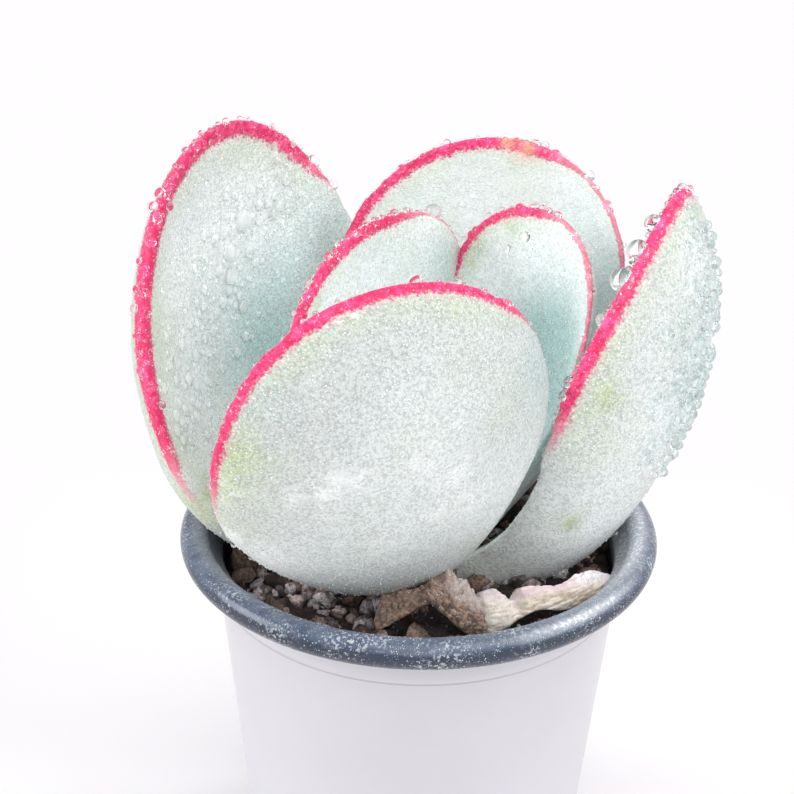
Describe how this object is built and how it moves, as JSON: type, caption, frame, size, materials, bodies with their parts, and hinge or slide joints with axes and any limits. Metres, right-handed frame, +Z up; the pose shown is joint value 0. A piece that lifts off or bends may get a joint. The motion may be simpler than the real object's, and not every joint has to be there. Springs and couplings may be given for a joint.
{
  "type": "potted succulent",
  "caption": "Small potted succulent: thick, cupped, obovate leaves with red margins in an upright rosette, in soil in a round tapered plastic nursery pot that stands on its flat base.",
  "frame": {"origin": "middle of the pot's flat base, on its underside", "axes": "+Z up along the pot's axis, -Y towards the front leaf, +X to the right"},
  "size_m": [0.071, 0.0683, 0.0994],
  "materials": {
    "pot_plastic": "thin two-coloured plastic sheet, white outside and slate grey inside and on the bead",
    "potting_soil": "dark, gritty and damp, with bark bits and grey grains",
    "stem": "matt and slightly rough",
    "leaf": "pale mint with a white mealy bloom and a pink-red margin",
    "dried_leaf": "dry, brown and fibrous",
    "dried_leaf_pale": "dry, cream to tan, with a pinkish ridge"
  },
  "bodies": {
    "root": {"pot": "pot_plastic", "soil": "potting_soil", "stem": "stem", "leaf_front": "leaf", "leaf_left": "leaf", "leaf_back": "leaf", "leaf_right": "leaf", "leaf_inner_left": "leaf", "leaf_inner_right": "leaf", "dried_leaf_brown": "dried_leaf", "dried_leaf_pale": "dried_leaf_pale"}
  },
  "joints": []
}
